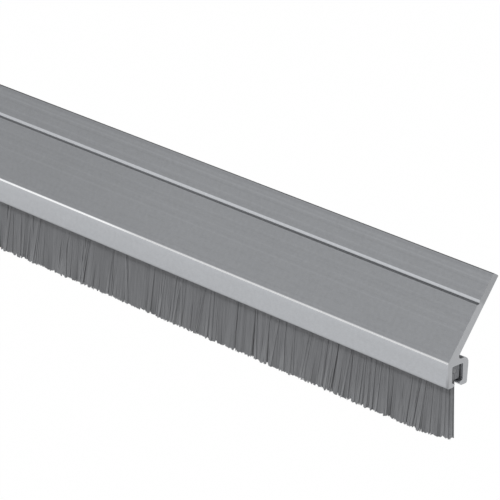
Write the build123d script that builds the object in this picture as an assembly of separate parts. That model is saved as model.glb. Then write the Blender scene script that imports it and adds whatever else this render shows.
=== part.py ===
from build123d import *

import os
from math import cos, radians, sin, tan

# Door brush seal: one aluminium extrusion, the carrier, and a brush strip in its channel.
# The carrier has a sloping plate that is screwed to the door, a short upright wall below it
# and a channel behind the wall, open downwards between two lips. The brush strip is a
# folded steel spine, a core wire, and filaments folded round the wire that hang through
# the lips. +X runs along the seal, the wall faces -Y and the bristles point to -Z.
# Every section below is drawn in Y and Z from the sharp corner of the bend, and then
# moved so that the origin lies on the plate's back face, behind the drill groove.

# Driving dimensions of the carrier, millimetres and degrees
carrier_length = 914.0
plate_width = 30.0
plate_angle = 51.5
plate_root_thickness = 3.0
plate_edge_thickness = 2.6
plate_edge_rise = 0.3
plate_front_radius = 0.45
plate_back_radius = 0.35
bend_radius = 1.0
groove_from_edge = 9.87
groove_low_flank = 0.8
groove_high_flank = 0.87
groove_depth = 0.5
groove_edge_radius = 0.1
wall_height = 8.5
wall_thickness = 1.8
wall_foot_radius = 0.35
top_leg_thickness = 1.8
back_wall_top = 2.55
back_wall_foot = 1.85
back_corner_radius = 2.2
back_foot_drop = 0.3
back_foot_radius = 0.6
plate_root_radius = 0.8
channel_width = 4.6
channel_corner_radius = 0.4
lip_reach = 1.2
lip_height = 1.5
lip_top_fall = 0.45
lip_nose_height = 0.45
lip_chamfer = 0.6
lip_corner_radius = 0.15

# Driving dimensions of the brush strip
strip_side_clearance = 0.1
strip_top_clearance = 0.2
spine_height = 4.9
spine_sheet = 0.5
spine_shoulder_radius = 1.3
spine_leg_pinch = 0.35
spine_end_gap = 1.2
wire_diameter = 1.4
wire_clearance = 0.02
fold_clearance = 0.03
fold_corner_radius = 0.3
slot_clearance = 0.2
bristle_length = 20.7
bristle_end_gap = 2.05
bristle_flare = 0.3

# Tufts of the curtain: mean pitch and its unevenness as a share of the pitch, how far the
# furrows between tufts sink and how much less some of them do, how ragged the tips are and
# how far they rise at a furrow, how far the tufts lean along the seal, and the stretch at
# each end over which they come upright. The last tufts splay outwards, and their tips rise
tuft_pitch = 1.8
pitch_scatter = 0.16
furrow_depth = 0.3
furrow_scatter = 0.15
tip_raggedness = 0.45
furrow_rise = 0.5
tuft_lean = 6.5
lean_scatter = 3.0
upright_end = 12.0
end_splay = 0.3
end_rise = 1.5
end_rise_length = 8.0

golden_ratio = (5 ** 0.5 - 1) / 2


def along_plate(distance, depth=0.0):
    """Section point at a distance up the plate's front face and a depth behind it."""
    slope = radians(plate_angle)
    y = distance * cos(slope) + depth * sin(slope)
    z = distance * sin(slope) - depth * cos(slope)
    return y, z


def plate_thickness(distance):
    """The plate thins evenly from the bend to its top edge."""
    share = distance / plate_width
    return plate_root_thickness + (plate_edge_thickness - plate_root_thickness) * share


groove_line = plate_width - groove_from_edge
datum_y, datum_z = along_plate(groove_line, plate_thickness(groove_line))

channel_front = wall_thickness
channel_back = channel_front + channel_width
channel_middle = channel_front + channel_width / 2
channel_top = -top_leg_thickness
foot = -wall_height
lip_top = foot + lip_height
slot_half = channel_width / 2 - lip_reach

spine_half = channel_width / 2 - strip_side_clearance
spine_foot_half = spine_half - spine_leg_pinch
spine_top = channel_top - strip_top_clearance
spine_foot = spine_top - spine_height

# Spine, wire and fold end together. The loose filaments below them end a little earlier
strip_length = carrier_length - 2 * spine_end_gap
curtain_length = carrier_length - 2 * bristle_end_gap
fold_half = spine_half - spine_sheet - fold_clearance
fold_top = spine_top - spine_sheet - fold_clearance

curtain_half = slot_half - slot_clearance
curtain_top = (foot + lip_top) / 2
bristle_tip = spine_foot - bristle_length


def section(points, radii):
    """Closed face in the YZ plane with each corner rounded by its own radius."""
    placed = [(y - datum_y, z - datum_z) for y, z in points]
    return Plane.YZ * make_face(FilletPolyline(*placed, radius=radii, close=True))


def run_along(face, length):
    """Section carried along X, centred on the origin."""
    return extrude(Pos(-length / 2, 0, 0) * face, amount=length, dir=(1, 0, 0))


def root_of_back_face():
    """Where the plate's back face meets the top of the channel, level with the bend."""
    low_y, low_z = along_plate(0, plate_root_thickness)
    high_y, high_z = along_plate(plate_width, plate_edge_thickness)
    share = (0 - low_z) / (high_z - low_z)
    return low_y + (high_y - low_y) * share, 0.0


def lip(wall_y, towards, foot_drop):
    """Four points of a lip, from the channel's wall to the foot of the chamfer under its nose."""
    nose = wall_y + towards * lip_reach
    nose_top = lip_top - lip_top_fall
    nose_low = nose_top - lip_nose_height - foot_drop / 2
    return [(wall_y, lip_top), (nose, nose_top), (nose, nose_low),
            (nose - towards * lip_chamfer, foot - foot_drop)]


def make_carrier():
    """Plate with its drill groove, bend, front wall, top leg, back wall and both lips."""
    back_edge = plate_width + plate_edge_rise
    corners = [
        (along_plate(groove_line - groove_low_flank), groove_edge_radius),
        (along_plate(groove_line, groove_depth), groove_edge_radius),
        (along_plate(groove_line + groove_high_flank), groove_edge_radius),
        (along_plate(plate_width), plate_front_radius),
        (along_plate(back_edge, plate_thickness(back_edge)), plate_back_radius),
        (root_of_back_face(), plate_root_radius),
        ((channel_back + back_wall_top, 0.0), back_corner_radius),
        ((channel_back + back_wall_foot, foot - back_foot_drop), back_foot_radius),
    ]
    back_lip = lip(channel_back, -1, back_foot_drop)
    front_lip = lip(channel_front, 1, 0)
    corners += [(point, lip_corner_radius) for point in reversed(back_lip)]
    corners += [
        ((channel_back, channel_top), channel_corner_radius),
        ((channel_front, channel_top), channel_corner_radius),
    ]
    corners += [(point, lip_corner_radius) for point in front_lip]
    corners += [((0.0, foot), wall_foot_radius), ((0.0, 0.0), bend_radius)]
    points = [point for point, radius in corners]
    radii = [radius for point, radius in corners]
    return run_along(section(points, radii), carrier_length)


def spine_outline(half_top, half_foot, top, foot_level):
    """Four points of an arch-shaped outline, open side down, from front foot to back foot."""
    return [(channel_middle - half_foot, foot_level), (channel_middle - half_top, top),
            (channel_middle + half_top, top), (channel_middle + half_foot, foot_level)]


def make_spine():
    """Steel strip folded over the filaments, its legs pinched in towards the mouth."""
    outer = spine_outline(spine_half, spine_foot_half, spine_top, spine_foot)
    inner = spine_outline(spine_half - spine_sheet, spine_foot_half - spine_sheet,
                          spine_top - spine_sheet, spine_foot)
    inner_radius = spine_shoulder_radius - spine_sheet
    points = outer + inner[::-1]
    radii = [0, spine_shoulder_radius, spine_shoulder_radius, 0,
             0, inner_radius, inner_radius, 0]
    return run_along(section(points, radii), strip_length)


def wire_circle(radius):
    """Circle round the wire's centre, as far below the fold's top as from its sides."""
    z = fold_top - fold_half
    return Plane.YZ * Pos(channel_middle - datum_y, z - datum_z) * Circle(radius)


def make_wire():
    """Core wire that the filaments are folded round."""
    return run_along(wire_circle(wire_diameter / 2), strip_length)


def make_fold():
    """Filaments folded over the wire, narrowed by the spine's legs."""
    mouth_half = spine_foot_half - spine_sheet - fold_clearance
    points = spine_outline(fold_half, mouth_half, fold_top, spine_foot)
    shoulder = spine_shoulder_radius - spine_sheet
    radii = [fold_corner_radius, shoulder, shoulder, fold_corner_radius]
    bore = wire_circle(wire_diameter / 2 + wire_clearance)
    return run_along(section(points, radii) - bore, strip_length)


def make_neck():
    """Filaments from the mouth of the spine down between the lips."""
    mouth_half = spine_foot_half - spine_sheet - fold_clearance - fold_corner_radius
    mouth_level = spine_foot + fold_corner_radius
    slot_level = lip_top - lip_top_fall
    points = [(channel_middle - mouth_half, mouth_level),
              (channel_middle + mouth_half, mouth_level),
              (channel_middle + curtain_half + slot_clearance / 2, slot_level),
              (channel_middle + curtain_half + slot_clearance / 2, curtain_top),
              (channel_middle - curtain_half - slot_clearance / 2, curtain_top),
              (channel_middle - curtain_half - slot_clearance / 2, slot_level)]
    return run_along(section(points, [0] * len(points)), curtain_length)


def scatter(index, salt):
    """Uneven but repeatable number from -1 to 1 for one tuft."""
    return 2 * (index * salt * golden_ratio % 1) - 1


def curtain_lines():
    """Lines down the curtain, alternately a furrow and the crown of a tuft.

    Each line has a place along the seal at the slot and at the tip, the depth of the
    furrow on each side, and the height of its tip.
    """
    run = curtain_length - 2 * slot_clearance
    last = 2 * round(run / tuft_pitch)
    drop = curtain_top - bristle_tip
    lines = []
    for index in range(last + 1):
        x = run * (index / last - 0.5)
        if 0 < index < last:
            x += tuft_pitch * pitch_scatter * scatter(index, 1)
        from_end = run / 2 - abs(x)
        settled = min(1, from_end / upright_end)
        lean = (tuft_lean + lean_scatter * scatter(index, 7)) * settled
        splay = end_splay * (1 - settled) * (1 if x > 0 else -1)
        furrow = 0
        z_tip = bristle_tip + tip_raggedness * scatter(index, 5)
        z_tip += end_rise * max(0, 1 - from_end / end_rise_length)
        if index % 2 == 0:
            furrow = furrow_depth - furrow_scatter * abs(scatter(index, 3))
            z_tip += furrow_rise
        lines.append((x, x - drop * tan(radians(lean)) + splay, furrow, z_tip))
    return lines


def make_curtain():
    """Loose filaments below the lips, a closed skin of flat facets between the lines."""
    front_top, front_tip, back_top, back_tip = [], [], [], []
    middle = channel_middle - datum_y
    tip_half = curtain_half + bristle_flare
    for x, x_tip, furrow, z_tip in curtain_lines():
        front_top.append(Vector(x, middle - curtain_half + furrow, curtain_top - datum_z))
        back_top.append(Vector(x, middle + curtain_half - furrow, curtain_top - datum_z))
        front_tip.append(Vector(x_tip, middle - tip_half + furrow, z_tip - datum_z))
        back_tip.append(Vector(x_tip, middle + tip_half - furrow, z_tip - datum_z))
    loops = [front_top + back_top[::-1]]
    for index in range(len(front_top) - 1):
        after = index + 1
        loops.append([front_top[index], front_tip[index], front_tip[after]])
        loops.append([front_top[index], front_tip[after], front_top[after]])
        loops.append([back_top[index], back_tip[after], back_tip[index]])
        loops.append([back_top[index], back_top[after], back_tip[after]])
        loops.append([front_tip[index], back_tip[index], back_tip[after], front_tip[after]])
    for end in (0, -1):
        loops.append([front_top[end], back_top[end], back_tip[end], front_tip[end]])
    faces = [Face(Wire.make_polygon(loop, close=True)) for loop in loops]
    return Solid(Shell(faces))


def make_bristles():
    """Fold, neck and curtain are the same filaments, so they are one solid."""
    return make_fold() + make_neck() + make_curtain()


nodes = {
    "carrier": make_carrier,
    "spine_channel": make_spine,
    "core_wire": make_wire,
    "bristles": make_bristles,
}

os.makedirs("parts", exist_ok=True)
for name, make in nodes.items():
    export_step(make(), f"parts/{name}.step")
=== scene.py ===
"""Door brush seal: an aluminium carrier with a brush strip in its channel, in a pale studio."""

from math import cos, pi, radians, sin
from typing import NamedTuple

import bpy
import numpy as np
from bpy.props import FloatProperty, FloatVectorProperty, IntProperty, PointerProperty
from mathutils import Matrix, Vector


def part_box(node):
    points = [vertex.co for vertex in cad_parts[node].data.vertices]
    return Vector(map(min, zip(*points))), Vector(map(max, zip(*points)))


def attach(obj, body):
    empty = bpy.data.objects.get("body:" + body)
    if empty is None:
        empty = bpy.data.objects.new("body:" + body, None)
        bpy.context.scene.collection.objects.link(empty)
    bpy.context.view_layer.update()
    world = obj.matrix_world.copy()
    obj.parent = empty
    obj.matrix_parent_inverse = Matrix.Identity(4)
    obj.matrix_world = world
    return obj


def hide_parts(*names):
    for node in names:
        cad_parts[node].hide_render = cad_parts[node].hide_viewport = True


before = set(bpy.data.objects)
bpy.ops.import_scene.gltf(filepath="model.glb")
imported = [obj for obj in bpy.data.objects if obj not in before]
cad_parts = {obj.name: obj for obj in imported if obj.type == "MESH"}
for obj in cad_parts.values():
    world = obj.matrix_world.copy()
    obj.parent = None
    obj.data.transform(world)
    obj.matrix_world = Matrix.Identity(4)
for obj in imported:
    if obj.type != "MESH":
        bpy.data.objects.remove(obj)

bl_info = {
    "name": "Door brush seal",
    "version": (1, 0, 0),
    "blender": (4, 5, 0),
    "location": "3D View > Sidebar > Brush seal",
    "description": "Makes the carrier, the brush strip and the studio of a door brush seal",
    "category": "Object",
}

BODY = "root"
UV_NAME = "OFBake"
SHADE = "shade"
PHOTO_SIDE = 500.0
SENSOR = 36.0
PER_METRE = 1000

carrier_low, carrier_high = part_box("carrier")
bristle_low, bristle_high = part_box("bristles")


# Properties that a user would change

def millimetres(value, name, description):
    """A length property whose default is given in millimetres."""
    return FloatProperty(name=name, description=description, default=value / PER_METRE,
                         min=0.0, precision=5, unit="LENGTH")


def degrees(value, name, description):
    """An angle property whose default is given in degrees."""
    return FloatProperty(name=name, description=description, default=radians(value),
                         subtype="ANGLE")


def share(value, name, description):
    """A plain number property, such as a roughness or a share."""
    return FloatProperty(name=name, description=description, default=value, precision=3)


def colour(value, name, description):
    """A colour property."""
    return FloatVectorProperty(name=name, description=description, default=value,
                               subtype="COLOR", size=3, min=0.0, max=1.0)


class CarrierSizes(bpy.types.PropertyGroup):
    """Sizes of the extruded carrier's section."""
    plate_width: millimetres(30, "Plate width", "From the bend to the plate's top edge")
    plate_angle: degrees(51.5, "Plate angle", "Slope of the plate's front face")
    plate_root: millimetres(3.0, "Plate root", "Thickness of the plate at the bend")
    plate_edge: millimetres(2.6, "Plate edge", "Thickness of the plate at its top edge")
    plate_rise: millimetres(0.3, "Plate rise", "How much farther the plate reaches at its back")
    plate_front_radius: millimetres(0.45, "Front edge radius", "Rounding of the top edge in front")
    plate_back_radius: millimetres(0.35, "Back edge radius", "Rounding of the top edge behind")
    plate_root_radius: millimetres(0.8, "Root radius", "Rounding between plate and channel")
    bend_radius: millimetres(1.0, "Bend radius", "Rounding between plate and front wall")
    groove_from_edge: millimetres(9.87, "Groove place", "From the top edge to the groove")
    groove_low: millimetres(0.8, "Lower flank", "Width of the groove below its line")
    groove_high: millimetres(0.87, "Upper flank", "Width of the groove above its line")
    groove_depth: millimetres(0.5, "Groove depth", "Depth of the drill groove")
    groove_radius: millimetres(0.1, "Groove radius", "Rounding of the groove's edges")
    wall_height: millimetres(8.5, "Wall height", "Height of the front wall")
    wall: millimetres(1.8, "Wall", "Thickness of the front wall")
    wall_foot_radius: millimetres(0.35, "Wall foot radius", "Rounding of the front wall's foot")
    top_leg: millimetres(1.8, "Top leg", "Thickness of the channel's top")
    back_top: millimetres(2.55, "Back wall, top", "Thickness of the back wall at its top")
    back_foot: millimetres(1.85, "Back wall, foot", "Thickness of the back wall at its foot")
    back_radius: millimetres(2.2, "Back corner radius", "Rounding of the back top corner")
    back_drop: millimetres(0.3, "Back foot drop", "How much lower the back wall's foot lies")
    back_foot_radius: millimetres(0.6, "Back foot radius", "Rounding of the back wall's foot")
    channel: millimetres(4.6, "Channel width", "Clear width of the channel")
    channel_radius: millimetres(0.4, "Channel radius", "Rounding inside the channel's top")
    lip_reach: millimetres(1.2, "Lip reach", "How far each lip stands into the channel")
    lip_height: millimetres(1.5, "Lip height", "Height of each lip at the wall")
    lip_fall: millimetres(0.45, "Lip fall", "How far a lip's top falls to its nose")
    lip_nose: millimetres(0.45, "Lip nose", "Height of a lip's upright nose")
    lip_chamfer: millimetres(0.6, "Lip chamfer", "Width of the chamfer under a lip's nose")
    lip_radius: millimetres(0.15, "Lip radius", "Rounding of a lip's corners")
    deburr: millimetres(0.05, "Deburr", "Width of the broken edge round each cut end")
    arc_steps: IntProperty(name="Arc steps", description="Faces in each rounded corner",
                           default=9, min=1)
    length_steps: IntProperty(name="Length steps", description="Faces along the carrier",
                              default=16, min=1)


class BrushSizes(bpy.types.PropertyGroup):
    """Sizes of the brush strip."""
    spine_height: millimetres(4.9, "Spine height", "Height of the folded steel spine")
    spine_sheet: millimetres(0.5, "Spine sheet", "Thickness of the spine's sheet")
    leg_pinch: millimetres(0.35, "Leg pinch", "How far each leg of the spine leans in")
    side_clearance: millimetres(0.1, "Side clearance", "Gap between spine and channel wall")
    top_clearance: millimetres(0.2, "Top clearance", "Gap between spine and channel top")
    wire: millimetres(1.4, "Core wire", "Diameter of the core wire")
    fold_gap: millimetres(0.03, "Fold gap", "Gap round the fold of the filaments")
    slot_gap: millimetres(0.2, "Slot gap", "Gap between the filaments and each lip")
    end_gap: millimetres(1.85, "End gap", "From the carrier's end to the last filaments")
    per_millimetre: FloatProperty(name="Filaments per millimetre", default=72.0, min=1.0,
                                  description="Filaments in each millimetre of the strip")
    filament: millimetres(0.22, "Filament", "Diameter of one filament")
    core: share(0.4, "Core", "Share of the filaments that fill the brush between its faces")
    lock_pitch: millimetres(4.2, "Lock pitch", "Mean distance between stray locks of filaments")
    lock_width: millimetres(1.1, "Lock width", "Width of a stray lock at its root")
    lock_lean: degrees(5.0, "Lock lean", "Mean lean of a stray lock over its neighbours")
    lock_scatter: degrees(5.5, "Lock scatter", "How unevenly the stray locks lean")
    lock_share: share(0.5, "Lock share", "Share of the outer filaments that a lock takes along")
    calm_end: millimetres(130, "Calm end", "Stretch at the ends where the locks lean less")
    # Painted light on the stray locks, where they catch the light
    lock_light: share(0.24, "Lock tone", "How much lighter the stray locks are")
    flare: millimetres(0.3, "Flare", "How far the brush spreads to each side at its tips")
    ragged: millimetres(0.4, "Raggedness", "Unevenness of the tips in a clump")
    notches: millimetres(1.05, "Notches", "Depth of the notches in the line of the tips")
    notch_pitch: millimetres(0.5, "Notch pitch", "Mean distance between the notches")
    clump_pitch: millimetres(1.1, "Clump pitch", "Mean width of a clump of filaments")
    clump_pull: share(0.25, "Clump pull", "How far tips gather to the middle of a clump")
    clump_lean: degrees(0.9, "Clump lean", "Unevenness of the lean between clumps")
    strand_pitch: millimetres(2.8, "Strand pitch", "Mean width of a strand of clumps")
    strand_lean: degrees(2.4, "Strand lean", "Unevenness of the lean between strands")
    # Painted light where strands meet and painted shade where they part
    strand_light_and_shade: share(0.35, "Strand tone", "How much lighter the filaments are where strands meet")
    filament_lean: degrees(0.5, "Filament lean", "Unevenness of the lean in a clump")
    lean: degrees(6.3, "Lean", "Mean lean of the filaments along the seal")
    lean_wander: degrees(3.0, "Lean wander", "How far the lean drifts along the seal")
    upright_end: millimetres(12, "Upright end", "Stretch over which the ends come upright")
    end_splay: millimetres(0.3, "End splay", "How far the last tips spread outwards")
    end_rise: millimetres(1.5, "End rise", "How much shorter the last filaments are")
    end_rise_length: millimetres(8, "End rise length", "Stretch over which the tips rise")
    clump_tone: share(0.04, "Clump tone", "Unevenness of the shade between clumps")
    filament_tone: share(0.0, "Filament tone", "Unevenness of the shade in a clump")
    # Painted light on the filaments inside the brush, where shade falls between them
    depth_light: share(0.4, "Depth tone", "How much lighter the filaments inside the brush are")
    soft: share(0.85, "Softness", "How evenly the filaments catch the light as one surface")
    pieces: IntProperty(name="Pieces", description="Lengths that the brush is divided into",
                        default=5, min=1)


class SealColours(bpy.types.PropertyGroup):
    """Colours of the finishes."""
    aluminium: colour((0.453, 0.465, 0.485), "Aluminium", "Mill-finish extrusion")
    # The bend's colour, a painted highlight lighter than the aluminium
    bend_highlight: colour((0.665, 0.67, 0.68), "Bend highlight", "Painted highlight on the bend")
    sawn: colour((0.44, 0.448, 0.462), "Sawn aluminium", "Cut ends of the extrusion")
    steel: colour((0.38, 0.383, 0.39), "Steel", "Dull galvanised spine")
    wire: colour((0.27, 0.273, 0.28), "Wire", "Drawn core wire")
    filament_dark: colour((0.15, 0.153, 0.162), "Filament, dark", "Darkest filaments")
    filament_light: colour((0.37, 0.377, 0.393), "Filament, light", "Lightest filaments")
    floor: colour((0.86, 0.86, 0.86), "Floor", "Pale studio floor")


class StudioView(bpy.types.PropertyGroup):
    """Camera of the photograph's view."""
    azimuth: degrees(46.509, "Azimuth", "Turn of the camera round the seal")
    elevation: degrees(22.5, "Elevation", "Height of the camera above the horizon")
    focal: FloatProperty(name="Focal length", description="In millimetres on a 36 mm sensor",
                         default=239.53, subtype="DISTANCE_CAMERA")
    distance: millimetres(978.5, "Distance", "From the camera to the bend's near corner")
    corner_column: share(448.4, "Corner column", "Photo pixel of the bend's near corner")
    corner_row: share(363.6, "Corner row", "Photo pixel of the bend's near corner")
    floor_depth: millimetres(450, "Floor depth", "Height of the hanging seal above the floor")


# Shader maths

class Signal:
    """A number on a socket. Sums, products and the rest add their Math nodes."""

    def __init__(self, finish, socket):
        self.finish = finish
        self.socket = socket

    def maths(self, operation, *values):
        """The result of one Math node."""
        settings = {"operation": operation}
        return self.finish.node("ShaderNodeMath", settings, dict(enumerate(values)))[0]

    def __add__(self, other):
        return self.maths("ADD", self, other)

    def __sub__(self, other):
        return self.maths("SUBTRACT", self, other)

    def __rsub__(self, other):
        return self.maths("SUBTRACT", other, self)

    def __mul__(self, other):
        return self.maths("MULTIPLY", self, other)

    def __neg__(self):
        return self.maths("MULTIPLY", self, -1.0)

    __radd__ = __add__
    __rmul__ = __mul__

    def power(self, other):
        """This number to a power."""
        return self.maths("POWER", self, other)

    def larger(self, other):
        """The larger of two numbers."""
        return self.maths("MAXIMUM", self, other)

    def distance(self, other):
        """Size of the difference from another number."""
        return self.maths("ABSOLUTE", self - other)

    def over(self, zone, datum=0.0):
        """0 before a zone's start, its worth past the place where it is full, and smooth
        between. The full end may be the lower one."""
        inputs = {"Value": self, "From Min": datum + zone.start, "From Max": datum + zone.full}
        settings = {"interpolation_type": "SMOOTHSTEP"}
        part = self.finish.node("ShaderNodeMapRange", settings, inputs)["Result"]
        return part if zone.worth == 1.0 else part * zone.worth


class Finish:
    """A material or a world under construction."""

    def __init__(self, owner):
        owner.use_nodes = True
        self.owner = owner
        self.tree = owner.node_tree
        self.tree.nodes.clear()

    def node(self, kind, settings=None, inputs=None):
        """Adds a node, makes its settings and then its inputs, and returns its outputs."""
        made = self.tree.nodes.new(kind)
        for name, value in (settings or {}).items():
            setattr(made, name, value)
        for name, value in (inputs or {}).items():
            self.feed(made.inputs[name], value)
        return Outputs(self, made)

    def feed(self, socket, value):
        """Links a signal to an input, or sets a plain value on it."""
        if isinstance(value, Signal):
            self.tree.links.new(value.socket, socket)
        else:
            socket.default_value = value

    def place(self):
        """X, Y and Z of the shaded point in the seal's own frame, in metres."""
        spot = self.node("ShaderNodeTexCoord")["Object"]
        parts = self.node("ShaderNodeSeparateXYZ", None, {"Vector": spot})
        return parts["X"], parts["Y"], parts["Z"]

    def vector(self, x, y, z):
        """A vector from three numbers."""
        return self.node("ShaderNodeCombineXYZ", None, {"X": x, "Y": y, "Z": z})["Vector"]

    def noise(self, x, y, z, grain):
        """Fractal noise about 0, mostly within half a unit to each side."""
        inputs = {"Vector": self.vector(x, y, z), "Scale": grain.scale, "Detail": grain.detail}
        return self.node("ShaderNodeTexNoise", None, inputs)[0] - 0.5

    def blend(self, factor, first, second):
        """Mix of two colours, which go into the node's sockets 6 and 7."""
        inputs = {0: factor, 6: (*first, 1.0), 7: (*second, 1.0)}
        return self.node("ShaderNodeMix", {"data_type": "RGBA"}, inputs)[2]

    def shaded(self, tint, amount):
        """A colour made lighter or darker by a signal: the colour times the amount."""
        inputs = {0: tint, 1: self.vector(amount, amount, amount)}
        return self.node("ShaderNodeVectorMath", {"operation": "MULTIPLY"}, inputs)["Vector"]

    def bump(self, height, distance):
        """Normal from a height in units of the given distance."""
        return self.node("ShaderNodeBump", None, {"Height": height, "Distance": distance})[0]

    def surface(self, **inputs):
        """Ends the material in one principled shader with these inputs."""
        named = {name.replace("_", " "): value for name, value in inputs.items()}
        shader = self.node("ShaderNodeBsdfPrincipled", None, named)["BSDF"]
        self.node("ShaderNodeOutputMaterial", None, {"Surface": shader})
        return self.owner


class Outputs:
    """A node's outputs, by name or by place, as signals."""

    def __init__(self, finish, made):
        self.finish = finish
        self.made = made

    def __getitem__(self, name):
        return Signal(self.finish, self.made.outputs[name])


def new_finish(name):
    """An empty material ready for nodes."""
    return Finish(bpy.data.materials.new(name))


# Finishes

class Grain(NamedTuple):
    """Fractal noise in a finish: features to the metre, detail, how much denser they lie
    along the piece, and what the noise adds to the tone and to the roughness."""
    scale: float
    detail: float
    along: float = 1.0
    tone: float = 0.0
    rough: float = 0.0


class Zone(NamedTuple):
    """A change along a distance: where it starts and where it is full, in metres, and what
    it is worth there."""
    start: float
    full: float
    worth: float = 1.0


# Lines of the die on the plate: millimetres up from the bend, width in millimetres, tone
DIE_LINES = ((0.95, 0.35, 0.04), (1.7, 0.35, -0.035), (4.5, 0.4, -0.025), (7.4, 0.3, -0.03),
             (10.1, 0.35, 0.065), (10.95, 0.4, -0.03), (12.5, 0.4, 0.05), (14.0, 0.5, -0.03),
             (15.2, 0.35, -0.035), (15.95, 0.35, 0.04), (22.2, 0.45, -0.035),
             (23.3, 0.4, 0.06), (25.9, 0.4, -0.06), (26.95, 0.4, 0.095), (28.1, 0.4, 0.05))

# Mill finish of the carrier
FINE_GRAIN = Grain(2600.0, 1.0, along=1.5, tone=0.30, rough=0.05)
MIDDLE_GRAIN = Grain(620.0, 1.5, along=1.2, tone=0.16, rough=0.08)
BROAD_GRAIN = Grain(150.0, 1.0, along=0.6, tone=0.05)
BROAD_OFFSET = 3.0
CLOUDS = Grain(45.0, 2.0, tone=0.02, rough=0.04)
MILL_ROUGHNESS = 0.36
MILL_RELIEF = 0.000006
FINE_RELIEF = 0.6
BEND_POLISH = 0.12

# Zones up the plate, from its top edge, from the groove's line and from the bend
# Painted shade in a band at the plate's top edge, a painted highlight on the line of its rounding
# and a painted shadow on the edge itself
TOP_BAND_SHADE = Zone(-0.0015, -0.0011, -0.06)
TOP_LINE_HIGHLIGHT = Zone(-0.0007, -0.0004, 0.12)
TOP_EDGE_SHADOW = Zone(-0.0005, -0.0003, -1.0)
# Painted highlight in the groove
GROOVE_HIGHLIGHT_LOW = Zone(-0.0009, -0.0007, 0.23)
GROOVE_HIGHLIGHT_HIGH = Zone(0.00095, 0.0008)
# Painted shade at the foot of the groove's upper flank
FLANK_SHADE_LOW = Zone(-0.00043, -0.00023, -0.4)
FLANK_SHADE_HIGH = Zone(0.00027, -0.00003)
# Painted light that makes the plate's face lighter above the groove
ABOVE_GROOVE_LIGHT = Zone(0.0205, 0.0215, 0.02)

# Zones round the section, from the plate's top edge and from the start of the bend
PLATE_FACE = Zone(0.0, 0.001)
# Painted light that makes the plate's face a little lighter
PLATE_LIGHT = 0.015
WALL_FACE = Zone(0.0095, 0.009)
BEND_LOW = Zone(0.0001, 0.00035)
BEND_HIGH = Zone(0.00098, 0.00078)

# Zones down the front wall from the bend
# Painted light under the bend, and painted shade at the wall's foot, low down and at its near
# corner
WALL_TOP_LIGHT = Zone(0.003, 0.0004, 0.06)
WALL_FOOT_SHADE = Zone(0.0076, 0.0083, -0.2)
LOWER_WALL_SHADE = Zone(0.004, 0.0065, -0.03)
CORNER_SHADE_HEIGHT = Zone(0.003, 0.008, -0.35)

# Zones along the seal from its middle, and the near corner's from the near end
# Along the seal: the top edge's painted shadow grows towards the far end, the plate and the lower
# wall have painted shade there and the bend's painted highlight brightens, while the groove's and
# the wall corner's painted shade lie near the near end
FAR_EDGE_SHADOW = Zone(0.32, 0.22, 0.3)
LEAST_EDGE_SHADOW = 0.06
FAR_PLATE_SHADE = Zone(0.34, 0.27, -0.05)
FAR_WALL = Zone(0.42, 0.3)
FAR_BEND_HIGHLIGHT = Zone(0.325, 0.30, 0.36)
NEAR_FLANK = Zone(0.30, 0.43)
CORNER_SHADE_REACH = Zone(-0.0011, -0.0003)

# Sawn ends
SAW_DIRECTION = (0.82, 0.57)
SAW_MARKS = Grain(3800.0, 2.0, along=0.06, tone=0.10)
SAW_PATCHES = Grain(420.0, 1.0, tone=0.06, rough=0.08)
SAWN_ROUGHNESS = 0.46
SAWN_RELIEF = 0.000012
# The ends are darker above the groove, and have painted shade in front towards the wall's foot
SAWN_TOP = Zone(0.0197, 0.0212, -0.18)
SAWN_FRONT = Zone(0.0008, 0.0003)
SAWN_FOOT = Zone(0.003, 0.008, -0.25)

# Steel of the spine and the wire
STEEL_LINES = Grain(2200.0, 2.0, tone=0.2)
STEEL_MOTTLE = Grain(700.0, 3.0, tone=0.25, rough=0.2)
STEEL_ROUGHNESS = 0.5
STEEL_RELIEF = 0.00001
SPINE_ALONG = 0.05
WIRE_ALONG = 0.02

# Filaments: the contrast of their shades and their tone, at the roots and added at the tips; the
# tone added at the tips is painted light
FILAMENT_MOTTLE = Grain(2700.0, 1.0, along=0.4 / 3, tone=0.02, rough=0.1)
FILAMENT_ROUGHNESS = 0.52
TIP_STRETCH = 0.008
ROOT_CONTRAST = 0.22
TIP_CONTRAST = 1.15
ROOT_TONE = 0.852
TIP_LIGHT = 0.01
# Painted shadow in a band under the front wall
UNDER_WALL_SHADOW = Zone(-0.0038, -0.003, -0.1)
FOLD_LINES = Grain(5200.0, 1.0, along=0.05, tone=1.0, rough=0.1)
FOLD_DEPTH = 0.2
FOLD_SHADE = 0.32
FOLD_ROUGHNESS = 0.55
FOLD_RELIEF = 0.00004


def section_place(y, z):
    """How far a point of the seal lies up the plate, behind the wall's front face and below
    the bend."""
    origin_y, origin_z = datum()
    slope = sizes()[0].plate_angle
    back = y + origin_y
    above = z + origin_z
    return back * cos(slope) + above * sin(slope), back, -above


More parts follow.
